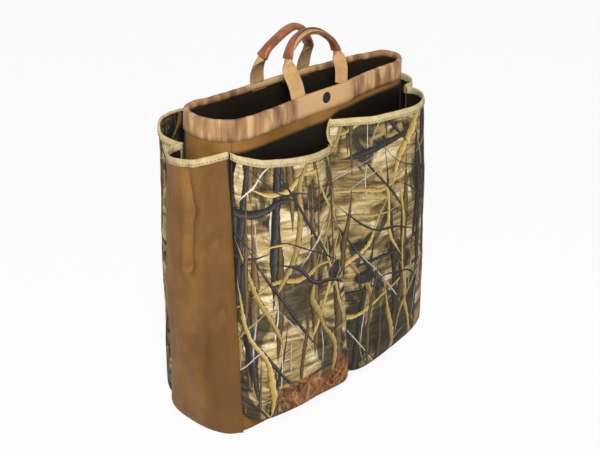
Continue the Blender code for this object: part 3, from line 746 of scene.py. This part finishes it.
pocketShapes = {
    "frontLeft": {
        "rim": mm([(-173, -42, 408), (-166, -47, 403), (-156, -54, 399), (-137, -64, 393),
                   (-117, -69, 389.5), (-94, -73, 386), (-58, -75, 382), (-18, -64, 377), (0, -53, 373),
                   (6, -46, 371)]),
        "base": atHeight(27, [(-175, -53), (-174, -66), (-165, -84), (-147, -92), (-100, -97),
                              (-60, -96), (-14, -97), (1, -90), (4, -60)]),
        "belly": 0.010, "seed": 1.0, "finish": "camo",
    },
    "frontRight": {
        "rim": mm([(7, -44.5, 406), (20, -51, 405), (39, -59, 404), (63, -72, 403), (91, -79, 403),
                   (116, -84, 403.5), (138, -87, 404.5), (160, -80, 405.5), (176, -67, 406), (187, -50, 406),
                   (189, -36, 406), (184, -25, 406)]),
        "base": mm([(8, -60, 30), (10, -78, 30), (22, -89, 30), (48, -91, 30), (90, -85, 30), (127, -78, 30),
                    (172, -67, 29), (203, -54, 28), (212, -44, 28), (199, -32, 29)]),
        "belly": 0.008, "seed": 2.0, "finish": "camo",
    },
    "backLeft": {
        "rim": mm([(-6, 47, 406), (-30, 84, 408), (-70, 103, 412), (-114, 109, 416), (-150, 107, 417),
                   (-170, 99, 413), (-179, 85, 402), (-178, 60, 398), (-176, 46, 398)][::-1]),
        "base": mm([(-6, 63, 16), (-8, 92, 15), (-40, 100, 15), (-100, 103, 14), (-150, 103, 13),
                    (-175, 97, 12), (-187, 78, 12), (-182, 66, 12)][::-1]),
        "belly": 0.006, "seed": 3.0, "finish": "camo", "turnedBack": True,
    },
    "backRight": {
        "rim": mm([(-173, -44, 408), (-166, -50, 403), (-150, -62, 396), (-117, -76, 389.5), (-80, -82, 385),
                   (-40, -78, 379), (-12, -60, 373), (-4, -46, 371)]),
        "base": atHeight(24, [(-172, -60), (-170, -76), (-150, -92), (-100, -98), (-50, -98),
                              (-10, -92), (-4, -64)]),
        "belly": 0.008, "seed": 4.0, "finish": "camo", "halfTurn": True,
    },
    # a crease has a depth, a width and points given as (share round the pocket, level)
    "leftEnd": {
        "creases": (
            (0.0060, 0.016, ((0.56, 1.02), (0.63, 0.84), (0.58, 0.62))),
            (0.0035, 0.017, ((0.58, 0.62), (0.74, 0.69), (0.84, 0.72))),
            (0.0045, 0.020, ((0.86, 0.47), (0.74, 0.42), (0.50, 0.33))),
            (0.0035, 0.018, ((0.72, 0.37), (0.64, 0.22))),
            (0.0030, 0.018, ((0.80, 0.93), (0.70, 0.84), (0.62, 0.82))),
            (0.0050, 0.046, ((0.86, 0.98), (0.89, 0.80), (0.84, 0.60), (0.90, 0.42), (0.85, 0.22),
                             (0.88, 0.04))),
            (0.0035, 0.022, ((0.26, 0.95), (0.32, 0.60), (0.27, 0.25)))),
        "rim": mm([(-176, 49, 397), (-184, 54, 395), (-195, 52, 393), (-204, 44, 392), (-209, 32, 392),
                   (-210, 14, 394), (-206, -6, 397), (-199, -21, 402), (-188, -33, 406), (-174, -40, 409)]),
        "base": mm([(-178, 74, 2), (-194, 69, 1), (-202, 47, 1), (-205, 20, 1), (-205, -8, 1),
                    (-201, -29, 1), (-192, -48, 1), (-175, -60, 1)]),
        "belly": 0.005, "seed": 5.0, "finish": "tan",
    },
    "rightEnd": {
        "rim": mm([(178, -35, 409), (186, -27, 409), (199, -25, 409), (212, -14, 410), (218, 3, 411),
                   (217, 20, 411), (208, 35, 410), (190, 43, 409), (177, 48, 408)]),
        "base": mm([(170, -42, 8), (175, -32, 8), (184, -22, 7), (194, -8, 5), (200, 8, 3), (200, 28, 2),
                    (192, 44, 2), (178, 54, 2)]),
        "belly": 0.003, "seed": 6.0, "finish": "tan",
    },
}
pocketCloth = {
    "skin": 0.0012, "edgeRounding": (0.004, 0.0018, 0.0005), "floorShares": (0.97, 0.6, 0.25, 0.06),
    "floorLifts": (0.0, -0.0004, -0.0006, 0.0),
    # soft folds: height, waves round the pocket, their lean, waves up it, and a number that tells them apart
    "folds": ((0.0026, 3.2, 0.0, 3.4, 0), (0.0020, 9.0, 1.5, 5.0, 3), (0.0005, 26.0, 0.0, 24.0, 6)),
}
pocketNodes = {"frontLeft": "front_left_pocket", "frontRight": "front_right_pocket",
               "backLeft": "back_left_pocket", "backRight": "back_right_pocket",
               "leftEnd": "left_end_pocket", "rightEnd": "right_end_pocket"}


def creaseDepths(shape, spread, level):
    # how deep each point of a row lies in the pocket's sharp folds
    depth = np.zeros(len(spread))
    flat = 0.45   # the pocket's length round its rim, as a share of its height
    for deep, wide, line in shape.get("creases", ()):
        nearest = np.full(len(spread), 9.0)
        for (s0, l0), (s1, l1) in zip(line, line[1:]):
            ahead = np.array([(s1 - s0) * flat, l1 - l0])
            share = ((spread - s0) * flat * ahead[0] + (level - l0) * ahead[1]) / ahead.dot(ahead)
            share = np.clip(share, 0, 1)
            away = np.hypot((spread - s0) * flat - share * ahead[0], level - l0 - share * ahead[1])
            nearest = np.minimum(nearest, away)
        valley = np.exp(-(nearest / wide) ** 1.3)
        ridge = np.exp(-((nearest - 2.2 * wide) / wide) ** 2)
        depth += deep * (valley - 0.35 * ridge)
    return depth


def softFold(s, level, seed):
    return sum(height * ruffle(s * waves + level * lean, level * up, seed + own)
               for height, waves, lean, up, own in pocketCloth["folds"])


def pocketRows(name, columns=112, levels=96):
    shape = pocketShapes[name]
    rim = evenly(shape["rim"], columns)
    base = evenly(shape["base"], columns)
    if shape.get("turnedBack"):
        rim, base = rim[::-1], base[::-1]
    spread = np.linspace(0, 1, columns)
    edge = np.clip(np.minimum(spread, 1 - spread) * 9, 0, 1)
    rows = []
    for step in range(levels + 1):
        level = step / levels
        row = base + (rim - base) * level
        bulge = shape["belly"] * math.sin(math.pi * level) * np.sin(np.pi * spread) ** 0.6
        fade = edge * min(1.0, level * 8, (1 - level) * 9 + 0.12)
        folds = np.array([softFold(s, level, shape["seed"] * 4.3) for s in spread])
        folds = folds - creaseDepths(shape, spread, level)
        rows.append(row + planNormals(row, False) * (bulge + folds * fade)[:, None])
    if shape.get("halfTurn"):
        rows = [halfTurned(row) for row in rows]
    return rows


def halfTurned(row):
    return row * np.array([-1, -1, 1])


def pocketFloor(rows):
    # rows that close the pocket from its bottom edge back to the body
    bottom = rows[0]
    chord = bottom[0] + (bottom[-1] - bottom[0]) * np.linspace(0, 1, len(bottom))[:, None]
    under = [bottom + (chord - bottom) * share for share in pocketCloth["floorShares"]]
    for row, lift in zip(under, pocketCloth["floorLifts"]):
        row[:, 2] += lift
    return under


def makePocket(name):
    shape = pocketShapes[name]
    rows = pocketRows(name)
    material = tanNylon if shape["finish"] == "tan" else camos[name]
    formed = [row.copy() for row in rows]
    normals = planNormals(rows[0], False)
    for row, inward in zip(formed, pocketCloth["edgeRounding"]):
        row -= normals * inward
    piece = sheetMesh(name + "Pocket", pocketFloor(formed) + formed, thickness=pocketCloth["skin"])
    slotName = "tan_nylon" if shape["finish"] == "tan" else "reed_camo"
    finishPiece(piece, material, "bag", slotName, pocketNodes[name])
    piece.data.materials.append(camoInside if name == "backLeft" else pocketInside)
    piece.modifiers["thickness"].material_offset = 1
    piece.modifiers["thickness"].material_offset_rim = 0
    return rows


# tape over the pocket rims: outwards and up, in millimetres, round the tape's section
tapeSection = ((1.0, -9.0), (1.3, -6.0), (1.4, -3.0), (1.3, -0.6), (0.9, 0.6), (-0.4, 1.1), (-1.7, 0.6),
               (-2.3, -0.6), (-2.4, -3.0), (-2.3, -6.0), (-2.1, -9.0))
tapeInside = {"backLeft": 0.3}   # how much of the tape's width is turned in, where it isn't all of it


def makeTape(name, rows):
    top, below = rows[-1], rows[-4]
    fall = (below - top) / np.abs(below[:, 2] - top[:, 2])[:, None]
    normals = planNormals(top, False)
    seed = pocketShapes[name]["seed"]
    wobble = np.array([ruffle(i * 0.19, seed, 0) for i in range(len(top))])
    tape = []
    for out, up in tapeSection:
        row = top + normals * (out / 1000 + wobble * 0.0004)[:, None]
        row = row + fall * (max(-up, 0) / 1000 * (tapeInside.get(name, 1.0) if out < 0 else 1.0))
        row[:, 2] += max(up, 0) / 1000 + wobble * 0.0004
        tape.append(row)
    piece = sheetMesh(name + "Tape", tape, thickness=0.0007)
    finishPiece(piece, khakiBinding, "bag", "khaki_binding", pocketNodes[name] + "_binding")
    return tape


stepTapeShape = {
    "path": mm([(7.5, -45.5, 408), (2.5, -47.5, 402), (-1.5, -49.5, 393), (-1.0, -51.0, 384),
                (3.0, -51.5, 377), (6.5, -50.5, 371)]),
    "wide": (0.0034, 0.0013, 0.0004), "thick": (0.0, 0.0014, 0.0), "stations": 40, "sides": 16,
}


def makeStepTape(name, turned):
    # tape down the tall pocket's free edge beside the low pocket's rim
    path = evenly(stepTapeShape["path"], stepTapeShape["stations"])
    rings = []
    for angle in np.linspace(0, 2 * math.pi, stepTapeShape["sides"], endpoint=False):
        wide = np.array(stepTapeShape["wide"]) * math.cos(angle)
        rings.append(path + wide + np.array(stepTapeShape["thick"]) * math.sin(angle))
    rows = list(np.stack(rings, axis=1)[::-1])
    if turned:
        rows = [halfTurned(row) for row in rows]
    piece = sheetMesh(name, rows, closed=True, cap=True, thickness=0)
    closeEnds(piece)
    finishPiece(piece, khakiBinding, "bag", "khaki_binding")


# handles: flat webbing legs that fold into a leather-wrapped grip

handleShapes = {
    "front": {
        "path": mm([(-48, -40.6, 450), (-49.5, -36, 468), (-50, -26, 486), (-47, -22, 503), (-38, -22, 519),
                    (-22, -22, 527), (-5, -22, 527.5), (10, -22, 523.5), (24, -22, 515.5), (36, -22, 505),
                    (43.5, -23, 490), (41.5, -33, 470), (34, -40.6, 450)]),
        "grip": (0.235, 0.79), "slit": 0.78, "showing": (0.55, -0.6, 0.6),
    },
    "back": {
        "path": mm([(-45, 40.5, 450), (-49, 36, 470), (-52, 25, 489), (-44, 22, 502), (-28, 22, 511),
                    (-10, 22, 519), (6, 22, 522.5), (18, 22, 519), (27, 22, 509.5), (33, 22, 498),
                    (38, 26, 486), (41, 35, 469), (42, 40.5, 450)]),
        "grip": (0.225, 0.775), "slit": 0.42, "showing": (0.1, 0.7, -0.5),
    },
    "webbing": 0.0254, "webbingThick": 0.0018, "coreWide": 0.0115, "coreThick": 0.0052,
    "leatherWide": 0.0150, "leatherThick": 0.0088, "leather": 0.0012, "stations": 150,
    "webbingRound": 0.35, "gripRound": 0.75,   # 0 is square in section and 1 is round
    "flare": 0.28, "flareLength": 0.10,        # the leather spreads at its two ends
}


def rounded(value, power):
    return math.copysign(abs(value) ** power, value)


def handleFrames(which):
    shape = handleShapes[which]
    path = evenly(shape["path"], handleShapes["stations"])
    ahead = np.gradient(path, axis=0)
    ahead /= np.linalg.norm(ahead, axis=1)[:, None]
    outward = np.stack([-ahead[:, 2], np.zeros(len(path)), ahead[:, 0]], axis=1)
    outward /= np.linalg.norm(outward, axis=1)[:, None]
    sideways = np.cross(outward, ahead)
    share = np.linspace(0, 1, len(path))
    return path, outward, sideways, share


def folded(share, grip, width=0.055):
    # 0 in the flat legs and 1 inside the grip
    rise = np.clip((share - grip[0] + width) / width, 0, 1)
    fall = np.clip((grip[1] + width - share) / width, 0, 1)
    both = np.minimum(rise, fall)
    return both * both * (3 - 2 * both)


def makeWebbing(which):
    path, outward, sideways, share = handleFrames(which)
    fold = folded(share, handleShapes[which]["grip"])
    sizes = handleShapes
    wide = (sizes["webbing"] + (sizes["coreThick"] - sizes["webbing"]) * fold) / 2
    deep = (sizes["webbingThick"] + (sizes["coreWide"] - sizes["webbingThick"]) * fold) / 2
    rings = []
    for angle in np.linspace(0, 2 * math.pi, 24, endpoint=False):
        ring = path + outward * (wide * rounded(math.cos(angle), sizes["webbingRound"]))[:, None]
        ring = ring + sideways * (deep * rounded(math.sin(angle), sizes["webbingRound"]))[:, None]
        rings.append(ring)
    columns = np.stack(rings, axis=1)
    piece = sheetMesh(which + "Webbing", list(columns), closed=True, cap=True, thickness=0)
    closeEnds(piece)
    finishPiece(piece, tanWebbing, which + "_handle", "tan_webbing", which + "_handle_webbing")


def makeGrip(which):
    path, outward, sideways, share = handleFrames(which)
    sizes = handleShapes
    start, stop = handleShapes[which]["grip"]
    keep = np.where((share >= start) & (share <= stop))[0]
    showing = np.array(handleShapes[which]["showing"])
    slit = handleShapes[which]["slit"]
    rows = []
    edgeRows = []
    arcs = np.linspace(0, 1, 30)
    for i in keep:
        t = (share[i] - start) / (stop - start)
        flare = 1 + sizes["flare"] * (max(0, 1 - t / sizes["flareLength"])
                                      + max(0, 1 - (1 - t) / sizes["flareLength"]))
        centre = math.atan2(float(np.dot(showing, sideways[i])), float(np.dot(showing, outward[i])))
        angles = centre + slit + arcs * (2 * math.pi - 2 * slit)
        row = []
        for angle in angles:
            radial = sizes["leatherThick"] / 2 * rounded(math.cos(angle), sizes["gripRound"])
            lateral = sizes["leatherWide"] / 2 * rounded(math.sin(angle), sizes["gripRound"]) * flare
            row.append(path[i] + outward[i] * radial + sideways[i] * lateral)
        rows.append(np.array(row))
        edgeRows.append(np.abs(arcs * 2 - 1) ** 3)
    piece = sheetMesh(which + "Grip", rows, thickness=0)
    form = bmesh.new()
    form.from_mesh(piece.data)
    bmesh.ops.recalc_face_normals(form, faces=form.faces)
    form.normal_update()
    middle = Vector(path[keep[len(keep) // 2]])
    face = min(form.faces, key=lambda one: (one.calc_center_median() - middle).length)
    if face.normal.dot(face.calc_center_median() - middle) < 0:
        bmesh.ops.reverse_faces(form, faces=form.faces)
    form.to_mesh(piece.data)
    form.free()
    paintPoints(piece, "edge", np.concatenate(edgeRows))
    thicken(piece, sizes["leather"])
    finishPiece(piece, leather, which + "_handle", "cognac_leather", which + "_handle_grip")
    return rows


# stitches, laid along a line by Geometry Nodes

def stitchTree():
    g, into, out = newGroup("stitchRun", (("Geometry", "Geometry", None), ("Pitch", "Float", 0.003),
                                          ("Length", "Float", 0.002), ("Radius", "Float", 0.0003),
                                          ("Material", "Material", None)),
                            (("Geometry", "Geometry"),), "GeometryNodeTree")
    curve = g.add("GeometryNodeMeshToCurve")
    g.put(curve.inputs[0], into["Geometry"])
    spots = g.add("GeometryNodeCurveToPoints", mode="LENGTH")
    g.put(spots.inputs[0], curve.outputs[0])
    g.put(spots.inputs["Length"], into["Pitch"])
    thread = g.add("GeometryNodeMeshUVSphere")
    for label, value in (("Segments", 6), ("Rings", 5), ("Radius", 1.0)):
        g.put(thread.inputs[label], value)
    turn = g.add("FunctionNodeAlignRotationToVector", axis="Z")
    g.put(turn.inputs["Vector"], spots.outputs["Tangent"])
    size = g.join(into["Radius"], into["Radius"], g.times(into["Length"], 0.5))
    place = g.add("GeometryNodeInstanceOnPoints")
    for label, value in (("Points", spots.outputs["Points"]), ("Instance", thread.outputs["Mesh"]),
                         ("Rotation", turn.outputs[0]), ("Scale", size)):
        g.put(place.inputs[label], value)
    real = g.add("GeometryNodeRealizeInstances")
    g.put(real.inputs[0], place.outputs[0])
    finish = g.add("GeometryNodeSetMaterial")
    g.put(finish.inputs[0], real.outputs[0])
    g.put(finish.inputs["Material"], into["Material"])
    g.put(out["Geometry"], finish.outputs[0])
    return g.tree


stitchRun = stitchTree()


# pitch, length and radius of the stitches in each kind of seam
stitchSizes = {
    "tape": (0.0052, 0.0030, 0.00045), "corner": (0.0034, 0.0030, 0.00055), "join": (0.0030, 0.0022, 0.0005),
    "band": (0.0034, 0.0024, 0.00026), "grip": (0.0036, 0.0024, 0.0003),
}


def makeStitches(name, lines, kind, material, body, slotName):
    # one piece of stitches along several lines of points
    points, edges = [], []
    for line in lines:
        edges += [(len(points) + i, len(points) + i + 1) for i in range(len(line) - 1)]
        points += [tuple(point) for point in line]
    mesh = bpy.data.meshes.new(name)
    mesh.from_pydata(points, edges, [])
    guide = inScene(name + "Guide", mesh)
    run = guide.modifiers.new("run", "NODES")
    run.node_group = stitchRun
    sockets = {item.name: item.identifier for item in stitchRun.interface.items_tree
               if item.in_out == "INPUT"}
    for label, value in zip(("Pitch", "Length", "Radius", "Material"), (*stitchSizes[kind], material)):
        run[sockets[label]] = value
    bpy.context.view_layer.update()
    made = bpy.data.meshes.new_from_object(guide.evaluated_get(bpy.context.evaluated_depsgraph_get()))
    bpy.data.objects.remove(guide)
    piece = inScene(name, made)
    made.shade_smooth()
    return finishPiece(piece, material, body, slotName)


def nearestColumn(row, spot):
    return int(np.argmin(np.hypot(row[:, 0] - spot[0], row[:, 1] - spot[1])))


# floor, light and camera

studio = {
    "eye": (-1.28598, -1.25557, 1.04382), "heading": 44.4, "pitch": 24.1, "lens": 83.82,
    "sky": 0.27, "glow": 0.93, "aim": (0, 0, 0.25),
    # place, size and power of each lamp
    "lamps": {"key": ((-1.6, -1.7, 1.9), 0.5, 82.0), "fill": ((0.8, -2.2, 1.2), 1.6, 4.0)},
}


def seenDirectly(t):
    # 1 for rays from the camera, straight or by a mirror or glass
    rays = t.add("ShaderNodeLightPath").outputs
    return t.math("MAXIMUM", rays["Is Camera Ray"],
                  t.math("MAXIMUM", rays["Is Glossy Ray"], rays["Is Transmission Ray"]))


def makeStudio():
    material, t, shader = newMaterial("paleFloor", 0.9, 0.2)
    shader.inputs["Base Color"].default_value = (0.86, 0.86, 0.86, 1)
    glow = t.add("ShaderNodeEmission")
    glow.inputs["Color"].default_value = (1, 1, 1, 1)
    blend = t.add("ShaderNodeMixShader")
    t.put(blend.inputs[0], t.times(seenDirectly(t), studio["glow"]))
    t.put(blend.inputs[1], shader.outputs[0])
    t.put(blend.inputs[2], glow.outputs[0])
    t.put(material.node_tree.nodes["Material Output"].inputs["Surface"], blend.outputs[0])
    bpy.ops.mesh.primitive_plane_add(size=40)
    floor = bpy.context.active_object
    floor.name = "studioFloor"
    floor.data.materials.append(material)

    world = bpy.data.worlds.new("paleRoom")
    world.use_nodes = True
    bpy.context.scene.world = world
    w = Tree(world.node_tree)
    background = world.node_tree.nodes["Background"]
    background.inputs["Color"].default_value = (1, 1, 1, 1)
    w.put(background.inputs["Strength"],
          w.plus(studio["sky"], w.times(seenDirectly(w), 1 - studio["sky"])))

    for name, (place, size, power) in studio["lamps"].items():
        lamp = bpy.data.lights.new(name, "AREA")
        lamp.energy = power
        lamp.size = size
        spot = inScene(name, lamp)
        spot.location = place
        spot.rotation_euler = (Vector(studio["aim"]) - Vector(place)).to_track_quat("-Z", "Y").to_euler()

    heading, pitch = math.radians(studio["heading"]), math.radians(studio["pitch"])
    look = Vector((math.cos(heading) * math.cos(pitch), math.sin(heading) * math.cos(pitch),
                   -math.sin(pitch)))
    lens = bpy.data.cameras.new("mainCamera")
    lens.sensor_width = 36
    lens.lens = studio["lens"]
    camera = inScene("mainCamera", lens)
    camera.location = studio["eye"]
    camera.rotation_euler = look.to_track_quat("-Z", "Y").to_euler()
    bpy.context.scene.camera = camera
    bpy.context.scene.view_settings.view_transform = "Standard"


makeStudio()
makeBody()
makeLining()
makeBoard()
bandRows = makeBand()
print("body, lining and band made")
tapes = {}
for pocketName in pocketShapes:
    tapes[pocketName] = makeTape(pocketName, makePocket(pocketName))
makeStepTape("frontStepTape", False)
makeStepTape("backStepTape", True)
print("pockets made")
gripRows = {}
for handleName in ("front", "back"):
    makeWebbing(handleName)
    gripRows[handleName] = makeGrip(handleName)
print("handles made")

for pocketName, tape in tapes.items():
    outer = tape[1] + planNormals(tape[1], False) * 0.0002
    makeStitches(pocketName + "TapeStitches", [outer[2:-2]], "tape", stitchDark, "bag", "khaki_binding")
seamShape = {"corners": ((-0.172, -0.046), (0.172, -0.030), (0.160, 0.030), (-0.172, 0.042)),
             "proud": 0.0012, "from": 0.06, "to": 0.935, "points": 60}
bandJoin = (-0.182, -0.037)
rim = bodyRow(1.0)
seamLines = []
for corner in seamShape["corners"]:
    column = nearestColumn(rim, corner)
    seamLines.append(np.array([bodyRow(level, -seamShape["proud"])[column] for level in
                               np.linspace(seamShape["from"], seamShape["to"], seamShape["points"])]))
makeStitches("cornerSeamStitches", seamLines, "corner", stitchDark, "bag", "tan_nylon")
joinColumn = nearestColumn(bandRows[2], bandJoin)
joinLine = np.array([row[joinColumn] + planNormals(row, True)[joinColumn] * 0.0002 for row in bandRows[:6]])
makeStitches("bandJoinStitches", [joinLine], "join", stitchDark, "bag", "ribbed_band")
bandLines = []
for rowIndex in (1, 4):
    ring = bandRows[rowIndex] + planNormals(bandRows[rowIndex], True) * 0.0001
    bandLines.append(np.vstack([ring, ring[:1]]))
makeStitches("bandStitches", bandLines, "band", stitchTan, "bag", "ribbed_band")
for handleName, rows in gripRows.items():
    lines = [np.array([row[column] for row in rows]) for column in (2, -3)]
    makeStitches(handleName + "GripStitches", lines, "grip", stitchDark, handleName + "_handle",
                 "cognac_leather")
print("stitches made")

for nodeName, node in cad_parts.items():
    if "snap" in nodeName:
        choice = blackSnap
    elif "tail" in nodeName:
        choice = tailWebbing
    else:
        choice = darkLining
    node.data.materials.clear()
    node.data.materials.append(choice)
